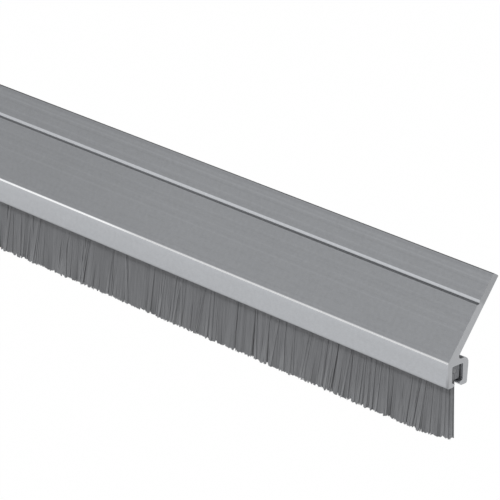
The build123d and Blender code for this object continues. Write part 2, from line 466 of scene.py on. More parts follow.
def mill_aluminium(tint, bend_highlight):
    """Extruded mill finish: a fine grain, faint clouds and the die's lines along the seal.

    A change of tone is the product of the zones that bound it, and each is painted light
    or shade. The plate has painted shade in a band at its top edge, a painted highlight on
    the line of its rounding and a painted shadow on the edge itself, stronger towards the
    far end. Its face has painted light, more above the groove, and painted shade towards the
    far end. The groove has a painted highlight, with painted shade at the foot of its upper
    flank near the end. The wall has painted light under the bend and painted shade at its
    foot, low down towards the far end and at its near corner. The bend has a painted
    highlight, brighter towards the far end, and its skin is smoother, less rough.
    """
    finish = new_finish("mill_aluminium")
    x, y, z = finish.place()
    around = finish.node("ShaderNodeUVMap", {"uv_map": UV_NAME})["UV"]
    around = finish.node("ShaderNodeSeparateXYZ", None, {"Vector": around})["X"]
    around = around * section_girth()
    fine = finish.noise(x * FINE_GRAIN.along, around, 0.0, FINE_GRAIN)
    middle = finish.noise(x * MIDDLE_GRAIN.along, around, 0.0, MIDDLE_GRAIN)
    broad = finish.noise(x * BROAD_GRAIN.along, around, BROAD_OFFSET, BROAD_GRAIN)
    clouds = finish.noise(x, y, z, CLOUDS)
    tone = (fine * FINE_GRAIN.tone + middle * MIDDLE_GRAIN.tone + broad * BROAD_GRAIN.tone
            + clouds * CLOUDS.tone + 1.0)
    up, _, below = section_place(y, z)
    for place, width, amount in DIE_LINES:
        near = up.distance(place / PER_METRE) * (PER_METRE / width)
        tone = tone + (1.0 - near).larger(0.0) * amount
    carrier = sizes()[0]
    edge = carrier.plate_width
    groove = edge - carrier.groove_from_edge
    plate = around.over(PLATE_FACE, plate_start())
    wall = around.over(WALL_FACE)
    bend = around.over(BEND_LOW) * around.over(BEND_HIGH)
    flank_shade = up.over(FLANK_SHADE_LOW, groove) * up.over(FLANK_SHADE_HIGH, groove)
    # Every change in this list is painted light or shade
    changes = [
        up.over(TOP_BAND_SHADE, edge),
        up.over(TOP_LINE_HIGHLIGHT, edge),
        up.over(TOP_EDGE_SHADOW, edge) * (x.over(FAR_EDGE_SHADOW) + LEAST_EDGE_SHADOW),
        plate * (up.over(ABOVE_GROOVE_LIGHT) + PLATE_LIGHT),
        plate * up.over(GROOVE_HIGHLIGHT_LOW, groove) * up.over(GROOVE_HIGHLIGHT_HIGH, groove),
        plate * flank_shade * x.over(NEAR_FLANK),
        plate * x.over(FAR_PLATE_SHADE),
        wall * below.over(WALL_TOP_LIGHT),
        wall * below.over(WALL_FOOT_SHADE),
        wall * below.over(LOWER_WALL_SHADE) * x.over(FAR_WALL),
        wall * below.over(CORNER_SHADE_HEIGHT) * x.over(CORNER_SHADE_REACH, carrier_high.x),
        bend * x.over(FAR_BEND_HIGHLIGHT),
    ]
    for change in changes:
        tone = tone * (change + 1.0)
    rough = (fine * FINE_GRAIN.rough + middle * MIDDLE_GRAIN.rough + clouds * CLOUDS.rough
             - bend * BEND_POLISH + MILL_ROUGHNESS)
    # The bend's colour is a painted highlight
    metal = finish.blend(bend, tint, bend_highlight)
    return finish.surface(Base_Color=finish.shaded(metal, tone), Metallic=1.0, Roughness=rough,
                          Normal=finish.bump(fine * FINE_RELIEF + middle, MILL_RELIEF))


def sawn_aluminium(tint):
    """Sawn ends: fine parallel saw marks that slant across the section. The ends are darker
    above the groove, and have painted shade in front, towards the front wall's foot."""
    finish = new_finish("sawn_aluminium")
    x, y, z = finish.place()
    level, upright = SAW_DIRECTION
    across = y * level + z * upright
    along = z * level - y * upright
    marks = finish.noise(across, along * SAW_MARKS.along, x, SAW_MARKS)
    patches = finish.noise(x, y, z, SAW_PATCHES)
    up, back, below = section_place(y, z)
    tone = marks * SAW_MARKS.tone + patches * SAW_PATCHES.tone + 1.0
    # Darker above the groove, and painted shade in front towards the wall's foot
    tone = tone * (up.over(SAWN_TOP) + 1.0)
    tone = tone * (back.over(SAWN_FRONT) * below.over(SAWN_FOOT) + 1.0)
    return finish.surface(Base_Color=finish.shaded(tint, tone), Metallic=1.0,
                          Roughness=patches * SAW_PATCHES.rough + SAWN_ROUGHNESS,
                          Normal=finish.bump(marks, SAWN_RELIEF))


def dull_steel(name, tint, along):
    """Galvanised or drawn steel: dull, mottled, with faint lengthwise lines."""
    finish = new_finish(name)
    x, y, z = finish.place()
    lines = finish.noise(x * along, y, z, STEEL_LINES)
    mottle = finish.noise(x, y, z, STEEL_MOTTLE)
    tone = lines * STEEL_LINES.tone + mottle * STEEL_MOTTLE.tone + 1.0
    return finish.surface(Base_Color=finish.shaded(tint, tone), Metallic=1.0,
                          Roughness=mottle * STEEL_MOTTLE.rough + STEEL_ROUGHNESS,
                          Normal=finish.bump(lines + mottle, STEEL_RELIEF))


def filament_plastic(dark, light):
    """Filaments with a satin gloss: each has its own shade, held in an attribute, which
    holds its own tone and painted light and shows more towards the tips. The tips have a
    little painted light, and a band under the front wall has a painted shadow."""
    finish = new_finish("filament_plastic")
    shade = finish.node("ShaderNodeAttribute", {"attribute_name": SHADE})["Fac"]
    x, y, z = finish.place()
    mottle = finish.noise(x, y, z * FILAMENT_MOTTLE.along, FILAMENT_MOTTLE)
    slot_foot = brush_levels()["slot_foot"]
    tips = z.over(Zone(slot_foot - TIP_STRETCH, bristle_low.z))
    uneven = (shade - 0.5) * (tips * TIP_CONTRAST + ROOT_CONTRAST)
    uneven = uneven + mottle * FILAMENT_MOTTLE.tone + 0.5
    # Painted light at the tips, and a painted shadow in a band under the front wall
    tone = (tips * TIP_LIGHT + ROOT_TONE) * (z.over(UNDER_WALL_SHADOW, slot_foot) + 1.0)
    tint = finish.shaded(finish.blend(uneven, dark, light), tone)
    rough = mottle * FILAMENT_MOTTLE.rough + FILAMENT_ROUGHNESS
    return finish.surface(Base_Color=tint, Roughness=rough, Metallic=0.0)


def fold_plastic(dark, light, wire_y, wire_z):
    """Cut end of the folded filaments: lines that run over the wire and down both sides,
    where the distance from the wire's axis, or from its upright plane below it, is equal."""
    finish = new_finish("fold_plastic")
    x, y, z = finish.place()
    sideways = y - wire_y
    above = (z - wire_z).larger(0.0)
    reach = (sideways * sideways + above * above).power(0.5)
    lines = finish.noise(reach, (z + y) * FOLD_LINES.along, x * FOLD_DEPTH, FOLD_LINES)
    tint = finish.blend(lines * FOLD_LINES.tone + FOLD_SHADE, dark, light)
    return finish.surface(Base_Color=tint, Roughness=lines * FOLD_LINES.rough + FOLD_ROUGHNESS,
                          Normal=finish.bump(lines, FOLD_RELIEF))


# Sections and meshes

def sizes():
    """The carrier's and the brush's sizes."""
    scene = bpy.context.scene
    return scene.seal_carrier, scene.seal_brush


def up_the_plate(distance, depth=0.0):
    """Section point at a distance up the plate's front face and a depth behind it."""
    carrier = sizes()[0]
    slope = carrier.plate_angle
    return (distance * cos(slope) + depth * sin(slope),
            distance * sin(slope) - depth * cos(slope))


def plate_thickness(distance):
    """The plate thins evenly from the bend to its top edge."""
    carrier = sizes()[0]
    part = distance / carrier.plate_width
    return carrier.plate_root + (carrier.plate_edge - carrier.plate_root) * part


def datum():
    """Where the frame's origin lies in the section: behind the groove, on the back face."""
    carrier = sizes()[0]
    line = carrier.plate_width - carrier.groove_from_edge
    return up_the_plate(line, plate_thickness(line))


def rounded(points, radii, steps):
    """Closed outline with each corner rounded, anticlockwise seen from +X.

    A corner's arc starts and ends radius times the tangent of half its turn away from the
    corner, and on it the outward normal turns evenly from one side's to the next side's.
    Returns the points, their outward normals and their distances round the outline.
    """
    points = np.array(points, float)
    radii = np.array(radii, float)
    ahead = np.roll(points, -1, 0) - points
    ahead /= np.linalg.norm(ahead, axis=1)[:, None]
    behind = np.roll(ahead, 1, 0)
    turn = np.arctan2(behind[:, 0] * ahead[:, 1] - behind[:, 1] * ahead[:, 0],
                      (behind * ahead).sum(1))
    start = points - behind * (radii * np.tan(np.abs(turn) / 2))[:, None]
    heading = np.arctan2(-behind[:, 0], behind[:, 1])
    part = np.linspace(0, 1, steps + 1)
    angle = heading[:, None] + turn[:, None] * part
    normals = np.stack([np.cos(angle), np.sin(angle)], -1)
    outward = (np.sign(turn) * radii)[:, None, None]
    outline = start[:, None] + outward * (normals - normals[:, :1])
    outline = outline.reshape(-1, 2)
    steps_round = np.linalg.norm(np.roll(outline, -1, 0) - outline, axis=1)
    distances = np.concatenate([[0.0], np.cumsum(steps_round)])
    return outline, normals.reshape(-1, 2), distances


def lip(wall, towards, drop):
    """Four corners of a lip, from the channel's wall to the foot of its chamfer."""
    carrier = sizes()[0]
    foot = -carrier.wall_height
    nose = wall + towards * carrier.lip_reach
    top = foot + carrier.lip_height
    nose_top = top - carrier.lip_fall
    return [(wall, top), (nose, nose_top), (nose, nose_top - carrier.lip_nose - drop / 2),
            (nose - towards * carrier.lip_chamfer, foot - drop)]


def carrier_section():
    """Rounded outline of the carrier about the frame's origin."""
    carrier = sizes()[0]
    groove = carrier.plate_width - carrier.groove_from_edge
    foot = -carrier.wall_height
    channel_back = carrier.wall + carrier.channel
    low = up_the_plate(0.0, carrier.plate_root)
    high = up_the_plate(carrier.plate_width, carrier.plate_edge)
    root = low[0] - low[1] * (high[0] - low[0]) / (high[1] - low[1])
    back_edge = carrier.plate_width + carrier.plate_rise
    corners = [(up_the_plate(groove - carrier.groove_low), carrier.groove_radius),
               (up_the_plate(groove, carrier.groove_depth), carrier.groove_radius),
               (up_the_plate(groove + carrier.groove_high), carrier.groove_radius),
               (up_the_plate(carrier.plate_width), carrier.plate_front_radius),
               (up_the_plate(back_edge, plate_thickness(back_edge)), carrier.plate_back_radius),
               ((root, 0.0), carrier.plate_root_radius),
               ((channel_back + carrier.back_top, 0.0), carrier.back_radius),
               ((channel_back + carrier.back_foot, foot - carrier.back_drop),
                carrier.back_foot_radius)]
    back_lip = lip(channel_back, -1, carrier.back_drop)
    corners += [(point, carrier.lip_radius) for point in reversed(back_lip)]
    corners += [((channel_back, -carrier.top_leg), carrier.channel_radius),
                ((carrier.wall, -carrier.top_leg), carrier.channel_radius)]
    corners += [(point, carrier.lip_radius) for point in lip(carrier.wall, 1, 0.0)]
    corners += [((0.0, foot), carrier.wall_foot_radius), ((0.0, 0.0), carrier.bend_radius)]
    corners.reverse()
    origin = np.array(datum())
    points = np.array([point for point, radius in corners]) - origin
    return rounded(points, [radius for point, radius in corners], carrier.arc_steps)


# Rounded corners of the section from the plate's top edge to the groove's lower end
PLATE_CORNERS = 4


def plate_start():
    """Distance round the section at which the plate's front face starts, at its top edge."""
    distances = carrier_section()[2]
    return float(distances[-1 - PLATE_CORNERS * (sizes()[0].arc_steps + 1)])


def section_girth():
    """Distance round the carrier's section."""
    return float(carrier_section()[2][-1])


def filled_mesh(name, points, faces, loop_uvs, loop_normals, shades=None):
    """Mesh object from whole arrays.

    faces is a list of index arrays, each with a row for every face of one size. The UVs and
    normals have a row for every corner of every face, in the faces' order.
    """
    mesh = bpy.data.meshes.new(name)
    corners = np.concatenate([block.ravel() for block in faces]).astype(np.int32)
    counts = np.concatenate([np.full(len(block), block.shape[1]) for block in faces])
    starts = np.concatenate([[0], np.cumsum(counts)[:-1]]).astype(np.int32)
    mesh.vertices.add(len(points))
    mesh.vertices.foreach_set("co", np.asarray(points, np.float32).ravel())
    mesh.loops.add(len(corners))
    mesh.loops.foreach_set("vertex_index", corners)
    mesh.polygons.add(len(counts))
    mesh.polygons.foreach_set("loop_start", starts)
    mesh.update(calc_edges=True)
    uv = mesh.uv_layers.new(name=UV_NAME)
    uv.uv.foreach_set("vector", np.asarray(loop_uvs, np.float32).ravel())
    if shades is not None:
        layer = mesh.attributes.new(SHADE, "FLOAT", "POINT")
        layer.data.foreach_set("value", np.asarray(shades, np.float32))
    mesh.polygons.foreach_set("use_smooth", np.ones(len(counts), bool))
    mesh.normals_split_custom_set(np.asarray(loop_normals, np.float32))
    mesh.validate()
    piece = bpy.data.objects.new(name, mesh)
    bpy.context.scene.collection.objects.link(piece)
    return piece


def extruded(name, section, low, high, deburr, steps, banded=False):
    """Section carried along X with a broken edge at both ends and a flat cut end.

    The end rings are the section moved inwards by the deburr. Round the section runs the
    map's u, along X its v. The two cut ends lie side by side in the strip under it. Where
    the outline's second half runs back beside its first, as on a band, each cut end is a
    row of faces between the halves.
    """
    outline, normals, distances = section
    around = len(outline)
    if banded:
        start = np.arange(around // 2 - 1)
        cap = np.stack([start, start + 1, around - 2 - start, around - 1 - start], -1)
    else:
        cap = np.arange(around)[None]
    stations = np.concatenate([[low], np.linspace(low + deburr, high - deburr, steps + 1),
                               [high]])
    inset = np.zeros(len(stations))
    inset[[0, -1]] = deburr
    rings = outline[None] - normals[None] * inset[:, None, None]
    points = np.concatenate([np.broadcast_to(stations[:, None, None], (*rings.shape[:2], 1)),
                             rings], 2).reshape(-1, 3)
    row, column = np.meshgrid(np.arange(len(stations) - 1), np.arange(around), indexing="ij")
    after = (column + 1) % around
    sides = np.stack([row * around + column, row * around + after,
                      (row + 1) * around + after, (row + 1) * around + column], -1)
    sides = sides.reshape(-1, 4)
    last = (len(stations) - 1) * around
    far_cap = cap[:, ::-1]
    cap_strip = 0.06
    u = distances / distances[-1]
    v = cap_strip + (1 - cap_strip) * (stations - low) / (high - low)
    side_uv = np.stack([np.stack([u[column], u[column + 1], u[column + 1], u[column]], -1),
                        np.stack([v[row], v[row], v[row + 1], v[row + 1]], -1)], -1)
    across = (outline - outline.min(0)) / np.ptp(outline, axis=0)
    margin = 0.01
    cap_size = np.array([0.5, cap_strip]) - 2 * margin
    cap_uv = across * cap_size + margin
    far_uv = cap_uv + np.array([0.5, 0.0])
    uvs = np.concatenate([side_uv.reshape(-1, 2), cap_uv[cap].reshape(-1, 2),
                          far_uv[far_cap].reshape(-1, 2)])
    flat = np.concatenate([np.zeros((around, 1)), normals], 1)
    side_normals = np.stack([flat[column], flat[after], flat[after], flat[column]], 2)
    broken = np.zeros(row.shape)
    broken[0] = -1
    broken[-1] = 1
    side_normals[..., 0] += broken[..., None]
    side_normals /= np.linalg.norm(side_normals, axis=-1)[..., None]
    ends = np.repeat([[1.0, 0.0, 0.0], [-1.0, 0.0, 0.0]], cap.size, axis=0)
    loop_normals = np.concatenate([side_normals.reshape(-1, 3), ends])
    return filled_mesh(name, points, [sides, last + cap, far_cap], uvs, loop_normals)


# Brush: seeds of its draws and walks, and places across it as shares of half its width

FILAMENT_SEED = 4100
STRAND_SEED = 7
LEAN_SEED = 5
NOTCH_SEED = 11
LEAN_SPACING = 0.022
WALK_LENGTH = 1.0
SPARE_KNOTS = 10
FRONT_SHARE = 0.55
CORE_REACH = 0.75
OUTER_REACH = 0.94
OUTER_DEPTH = 0.07
# Depth into the brush over which the painted light inside it grows
TONE_DEPTH = 0.4
MEETING_STEPS = 5
# Painted light on the filaments at the seal's ends
END_LIGHT = 0.35
END_CLUMPS = 1.2
CALMEST = 0.3
CURVE_POWER = 1.5
NOTCH_POWER = 1.5
RAGGED_POWER = 3
CALM_FLARE = 0.75
CLUMP_PUSH = 0.3
LOCK_PROUD = 0.6
TIP_WIDTH = 0.85
LEAST_NORMAL = 0.5
UV_MARGIN = 0.05
UV_STRIP = 0.1
UV_ASIDE = 0.45
END_UV = ((0.1, 0.02), (0.5, 0.02), (0.3, 0.08))


def brush_levels():
    """Heights and half widths that the filaments pass, about the frame's origin."""
    carrier, brush = sizes()
    origin_y, origin_z = datum()
    middle = carrier.wall + carrier.channel / 2 - origin_y
    spine_top = -carrier.top_leg - brush.top_clearance - origin_z
    fold_top = spine_top - brush.spine_sheet - brush.fold_gap
    fold_half = carrier.channel / 2 - brush.side_clearance - brush.spine_sheet - brush.fold_gap
    lip_foot = -carrier.wall_height - origin_z
    return {
        "end": carrier_high.x - brush.end_gap,
        "middle": middle,
        "fold_top": fold_top,
        "fold_half": fold_half,
        "wire_z": fold_top - fold_half,
        "spine_foot": spine_top - brush.spine_height,
        "slot_half": carrier.channel / 2 - carrier.lip_reach - brush.slot_gap,
        "slot_top": lip_foot + carrier.lip_height - carrier.lip_fall,
        "slot_foot": lip_foot,
    }


def wander(positions, seed, spacing, size):
    """Smooth random walk along the whole seal: random values at even spacing, joined by
    cosines. The same seed gives the same walk in every piece."""
    low = carrier_low.x - SPARE_KNOTS * spacing
    count = int(WALK_LENGTH / spacing) + 2 * SPARE_KNOTS
    knots = np.random.default_rng(seed).uniform(-size, size, count)
    place = (positions - low) / spacing
    index = place.astype(int)
    part = (1 - np.cos((place - index) * pi)) / 2
    return knots[index] * (1 - part) + knots[index + 1] * part


def strand_leans(positions):
    """Lean that the strands of clumps add at these places along the seal."""
    brush = sizes()[1]
    return wander(positions, STRAND_SEED, brush.strand_pitch, brush.strand_lean)


def end_share(x):
    """1 at the last filaments of the seal, falling to 0 about a clump's width inwards."""
    from_end = brush_levels()["end"] - np.abs(x)
    return np.clip(END_CLUMPS - from_end / sizes()[1].clump_pitch, 0, 1)


def clump_members(rng, root_x, side, low, high):
    """Clump of each filament, and the middle of each clump. Each face of the brush has
    clumps of its own, at random places, and a filament belongs to the nearest one."""
    clumps = int((high - low) / sizes()[1].clump_pitch)
    clump = np.zeros(len(root_x), int)
    middle = np.zeros(2 * clumps)
    for start, face in ((0, side < 0), (clumps, side >= 0)):
        middles = np.sort(rng.uniform(low, high, clumps))
        edges = (middles[1:] + middles[:-1]) / 2
        clump[face] = start + np.searchsorted(edges, root_x[face])
        middle[start:start + clumps] = middles
    return clump, middle


def stray_locks(rng, root_x, core, low, high):
    """1 for each filament that a stray lock takes along, 0 for the others, and the lean that
    the locks add. A lock takes a share of the outer filaments near its place."""
    brush = sizes()[1]
    locks = int((high - low) / brush.lock_pitch)
    lock_x = rng.uniform(low + brush.lock_width, high - brush.lock_width, locks)
    nearest = np.abs(root_x[:, None] - lock_x).argmin(1)
    near = np.abs(root_x - lock_x[nearest]) < brush.lock_width / 2
    taken = rng.uniform(0, 1, len(root_x)) < brush.lock_share
    astray = np.where(near & taken & ~core, 1.0, 0.0)
    return astray, rng.normal(brush.lock_lean, brush.lock_scatter, locks)[nearest] * astray


def notch_shares(tip_x, side, core):
    """How far each tip lies up its notch, from 0 to 1. The two faces of the brush and the
    two halves of its core have a line of notches each."""
    layer = np.where(side < 0, 0, 1) + np.where(core, 2, 0)
    share_up = np.zeros(len(tip_x))
    for index in range(4):
        here = layer == index
        walk = wander(tip_x[here], NOTCH_SEED + index, sizes()[1].notch_pitch, 0.5)
        share_up[here] = 0.5 + walk
    return share_up


def filament_shades(rng, root_x, side, clump_shade, astray, length):
    """Shade of each filament, from 0, dark, to 1, light: its clump's own tone, with painted
    light inside the brush where shade falls, at the seal's ends and in stray locks, painted
    light where strands lean together and painted shade where they part."""
    brush = sizes()[1]
    shade = 0.5 + clump_shade * brush.clump_tone
    inside = np.clip(OUTER_REACH - np.abs(side), 0, TONE_DEPTH) / TONE_DEPTH
    # Painted light inside the brush, where shade falls between the filaments
    shade += brush.depth_light * inside
    # Painted light at the seal's ends
    shade += END_LIGHT * end_share(root_x)
    beside = brush.strand_pitch / MEETING_STEPS
    meeting = strand_leans(root_x + beside) - strand_leans(root_x - beside)
    meeting = np.clip(meeting / (2 * beside) * length, -1, 1)
    # Painted light on stray locks, painted light where strands meet and painted shade where they
    # part
    shade += brush.lock_light * astray + brush.strand_light_and_shade * meeting * (1 - astray)
    shade += rng.uniform(-1, 1, len(root_x)) * brush.filament_tone
    return np.clip(shade, 0, 1)


def filament_paths(rng, low, high):
    """Three points down each filament, with each filament's shade.

    The point at share t of the way down is the root, plus the straight way times t, plus the
    curved way times t to the power of 1.5. The root lies at random in the spine's mouth, in
    the brush's core or near one of its faces. The straight way is the drop, with the tangent
    of the lean times the drop along X. The lean is the mean one plus those of the clump, the
    filament, the strand and the place, or of a stray lock. The curved way pulls tips to the
    middle of their clump and flares them outwards. Tips end in notches, single ones a little
    higher, and towards the seal's ends they rise, splay and come upright.
    """
    brush = sizes()[1]
    levels = brush_levels()
    count = int((high - low) * PER_METRE * brush.per_millimetre)
    root_x = low + (np.arange(count) + rng.uniform(0, 1, count)) / count * (high - low)
    core = rng.permutation(np.arange(count) / count) < brush.core
    side = np.where(rng.uniform(0, 1, count) < FRONT_SHARE, -1.0, 1.0)
    depth = rng.uniform(0, 1, count)
    side = side * np.where(core, CORE_REACH * depth, OUTER_REACH - OUTER_DEPTH * depth)
    clump, middle = clump_members(rng, root_x, side, low, high)
    astray, stray_lean = stray_locks(rng, root_x, core, low, high)
    side = np.where(astray > 0, np.sign(side), side)
    loose = np.where(core, 0.0, 1.0)
    clump_push, clump_shade = rng.uniform(-1, 1, (2, len(middle)))
    clump_lean = rng.normal(0, brush.clump_lean, len(middle))
    fine = rng.uniform(0, 1, count)
    from_end = levels["end"] - np.abs(root_x)
    settled = np.clip(from_end / brush.upright_end, 0, 1)
    lean = brush.lean + clump_lean[clump] * loose + rng.normal(0, brush.filament_lean, count)
    lean += stray_lean * np.clip(from_end / brush.calm_end, CALMEST, 1)
    lean += strand_leans(root_x) * (1 - astray)
    lean = (lean + wander(root_x, LEAN_SEED, LEAN_SPACING, brush.lean_wander)) * settled
    pull = (middle[clump] - root_x) * brush.clump_pull * loose * settled
    root_z = levels["spine_foot"] + brush.filament
    length = root_z - bristle_low.z
    notch = notch_shares(root_x - length * np.tan(lean) + pull, side, core)
    rise = brush.end_rise * np.clip(1 - from_end / brush.end_rise_length, 0, 1)
    tip_z = bristle_low.z + brush.notches * notch ** NOTCH_POWER
    tip_z += brush.ragged * fine ** RAGGED_POWER + rise
    drop = root_z - tip_z
    root_y = side * (levels["slot_half"] - brush.filament / 2)
    root_y += astray * side * brush.filament * LOCK_PROUD
    splay = brush.end_splay * (1 - settled) * np.sign(root_x)
    spread = side * brush.flare * (CALM_FLARE + (1 - CALM_FLARE) * astray)
    spread += clump_push[clump] * brush.filament * CLUMP_PUSH * loose * (1 - astray)
    flat = np.zeros(count)
    root = np.stack([root_x, levels["middle"] + root_y, np.full(count, root_z)], -1)
    straight = np.stack([splay - drop * np.tan(lean), flat, -drop], -1)
    curved = np.stack([pull, spread, flat], -1)
    down = np.array([0.0, 0.5, 1.0])[:, None]
    paths = root[:, None] + straight[:, None] * down + curved[:, None] * down ** CURVE_POWER
    shades = filament_shades(rng, root_x, side, clump_shade[clump], astray, length)
    return paths, shades


def filament_normals(paths, ring):
    """Normals at the tubes' corners: a share of the tube's own, and the rest of the brush's
    as one surface, which face away from its middle plane and turn to X at the last clump."""
    brush = sizes()[1]
    end = end_share(paths[..., 0])
    face = np.clip((paths[..., 1] - brush_levels()["middle"]) / brush.filament, -1, 1)
    outward = np.stack([np.sign(paths[..., 0]) * end, face * (1 - end), np.zeros_like(end)], -1)
    outward /= np.linalg.norm(outward, axis=-1, keepdims=True).clip(LEAST_NORMAL)
    normals = ring[:, None] * (1 - brush.soft) + outward[:, :, None] * brush.soft
    return normals / np.linalg.norm(normals, axis=-1, keepdims=True)


def filament_tubes(name, paths, shades, turn):
    """Three-sided tube round each path, closed at both ends and narrower at its tip.

    Corner k of a ring stands half a diameter from the path at the filament's own turn plus
    k thirds of a circle. Each filament has its own cell of the UV map: its sides side by
    side, and its two ends in the strip beside them.
    """
    brush = sizes()[1]
    count, rings = paths.shape[:2]
    angle = turn[:, None] + np.arange(3) * 2 * pi / 3
    ring = np.stack([np.cos(angle), np.sin(angle), np.zeros_like(angle)], -1)
    width = np.array([1.0, 1.0, TIP_WIDTH])
    points = paths[:, :, None] + ring[:, None] * (width * brush.filament / 2)[:, None, None]
    first = np.arange(count)[:, None, None] * rings * 3
    base = first + np.arange(rings - 1)[None, :, None] * 3
    corner = np.arange(3)[None, None]
    after = (corner + 1) % 3
    sides = np.stack(np.broadcast_arrays(base + corner, base + 3 + corner, base + 3 + after,
                                         base + after), -1).reshape(-1, 4)
    top = first[:, 0] + np.arange(3)
    bottom = first[:, 0] + (rings - 1) * 3 + np.array([0, 2, 1])
    grid = int(np.ceil(np.sqrt(count)))
    cell = 1.0 / grid
    cell_uv = np.stack([np.arange(count) % grid, np.arange(count) // grid], -1) * cell
    u = (UV_MARGIN + (1 - 2 * UV_MARGIN) * np.arange(4) / 3) * cell
    v = (UV_STRIP + (1 - 2 * UV_STRIP) * np.arange(rings) / (rings - 1)) * cell
    u = cell_uv[:, :1, None] + u
    v = cell_uv[:, 1:, None] + v[:, None]
    left, right, upper, lower = np.broadcast_arrays(u[..., :3], u[..., 1:], v[:, :-1], v[:, 1:])
    side_uv = np.stack([np.stack([left, left, right, right], -1),
                        np.stack([upper, lower, lower, upper], -1)], -1)
    top_uv = cell_uv[:, None] + np.array(END_UV) * cell
    bottom_uv = top_uv + np.array([UV_ASIDE * cell, 0.0])
    uvs = np.concatenate([part.reshape(-1, 2) for part in (side_uv, top_uv, bottom_uv)])
    normals = filament_normals(paths, ring).reshape(-1, 3)
    caps = np.repeat([[0.0, 0.0, 1.0], [0.0, 0.0, -1.0]], 3 * count, axis=0)
    loop_normals = np.concatenate([normals[sides.ravel()], caps])
    return filled_mesh(name, points.reshape(-1, 3), [sides, top, bottom], uvs, loop_normals,
                       np.repeat(shades, rings * 3))


# Operators

def dress(piece, material_slot, *materials):
    """Gives a piece its materials and its body. The name of its slot is not used."""
    for material in materials:
        piece.data.materials.append(material)
    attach(piece, BODY)


class SEAL_OT_carrier(bpy.types.Operator):
    """Make the extruded carrier with its sawn ends"""
    bl_idname = "seal.carrier"
    bl_label = "Carrier"

    def execute(self, context):
        carrier = context.scene.seal_carrier
        colours = context.scene.seal_colours
        section = carrier_section()
        outline = section[0]
        low = np.array(carrier_low)[1:]
        high = np.array(carrier_high)[1:]
        off = max(abs(outline.min(0) - low).max(), abs(outline.max(0) - high).max())
        if off > carrier.deburr:
            raise RuntimeError("the carrier's section doesn't fill its solid's box")
        piece = extruded("carrier_extrusion", section, carrier_low.x, carrier_high.x,
                         carrier.deburr, carrier.length_steps)
        dress(piece, "carrier_aluminium", mill_aluminium(colours.aluminium, colours.bend_highlight),
              sawn_aluminium(colours.sawn))
        faces = piece.data.polygons
        around = len(outline)
        ends = np.zeros(len(faces), np.int32)
        ends[:around] = 1
        ends[-around - 2:] = 1
        faces.foreach_set("material_index", ends)
        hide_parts("carrier")
        return {"FINISHED"}


class SEAL_OT_spine(bpy.types.Operator):
    """Finish the steel spine and the core wire, which keep their own solids"""
    bl_idname = "seal.spine"
    bl_label = "Spine and wire"

    def execute(self, context):
        colours = context.scene.seal_colours
        finishes = {"spine_channel": ("spine_steel", colours.steel, SPINE_ALONG),
                    "core_wire": ("wire_steel", colours.wire, WIRE_ALONG)}
        for name, (material_slot, tint, along) in finishes.items():
            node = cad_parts[name]
            node.material_slots[0].material = dull_steel(material_slot, tint, along)
        return {"FINISHED"}


# Fold over the wire: half widths, radii of its corners, and the bore's as shares of its size
FOLD_SLIT = 0.00003
FOLD_EDGE = 0.0001
FOLD_FOOT = 0.0003
FOLD_SHOULDER = 0.0008
FOLD_DEBURR = 0.00001
FOLD_ARC_STEPS = 6
FOLD_LENGTH_STEPS = 8
BORE_NECK = 1.05
BORE_LOW = 0.7
BORE_HIGH = 0.95


class SEAL_OT_fold(bpy.types.Operator):
    """Make the fold of filaments over the core wire, inside the spine"""
    bl_idname = "seal.fold"
    bl_label = "Fold of filaments"

    def execute(self, context):
        brush = context.scene.seal_brush
        colours = context.scene.seal_colours
        levels = brush_levels()
        middle = levels["middle"]
        wire_z = levels["wire_z"]
        outer = levels["fold_half"]
        mouth = outer - brush.leg_pinch
        foot = levels["spine_foot"]
        bore = brush.wire / 2 + brush.fold_gap
        outside = [(FOLD_SLIT, foot, FOLD_EDGE), (mouth, foot, FOLD_FOOT),
                   (outer, levels["fold_top"], FOLD_SHOULDER)]
        inside = [(FOLD_SLIT, wire_z - bore * BORE_NECK, FOLD_EDGE),
                  (bore, wire_z - bore, bore * BORE_LOW), (bore, wire_z + bore, bore * BORE_HIGH)]
        way = ((1, outside), (-1, outside[::-1]), (-1, inside), (1, inside[::-1]))
        corners = [(middle + side * half, height, radius)
                   for side, line in way for half, height, radius in line]
        section = rounded([corner[:2] for corner in corners],
                          [corner[2] for corner in corners], FOLD_ARC_STEPS)
        piece = extruded("bristle_fold", section, bristle_low.x, bristle_high.x, FOLD_DEBURR,
                         FOLD_LENGTH_STEPS, banded=True)
        dress(piece, "bristle_filament",
              fold_plastic(colours.filament_dark, colours.filament_light, middle, wire_z))
        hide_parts("bristles")
        return {"FINISHED"}


class SEAL_OT_bristles(bpy.types.Operator):
    """Make the hanging filaments, in a few lengths along the seal"""
    bl_idname = "seal.bristles"
    bl_label = "Hanging filaments"

    def execute(self, context):
        brush = context.scene.seal_brush
        colours = context.scene.seal_colours
        finish = filament_plastic(colours.filament_dark, colours.filament_light)
        end = brush_levels()["end"] - brush.filament / 2
        stops = np.linspace(-end, end, brush.pieces + 1)
        for index in range(brush.pieces):
            rng = np.random.default_rng(FILAMENT_SEED + index)
            paths, shades = filament_paths(rng, stops[index], stops[index + 1])
            turn = rng.uniform(0, 2 * pi, len(paths))
            piece = filament_tubes(f"bristles_{index + 1}", paths, shades, turn)
            dress(piece, "bristle_filament", finish)
            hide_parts("bristles")
        return {"FINISHED"}


# Studio: places, sizes and clipping in metres, power in watts, strengths as shares of white
FLOOR_HALF = 30.0
FLOOR_WHITE = 0.995
KEY_PLACE = (1.5, -2.2, 2.65)
KEY_WIDTH = 1.1
KEY_HEIGHT = 0.8
KEY_POWER = 34.0
AIM_FROM_END = 0.1
FRONT_WALL = Zone(0.45, -0.75, 0.60)
HORIZON = Zone(0.42, -0.05)
DARKEST = 0.05
FILL = 0.58
FILL_ASIDE = 0.24
CLIP_START = 0.01
CLIP_END = 200.0


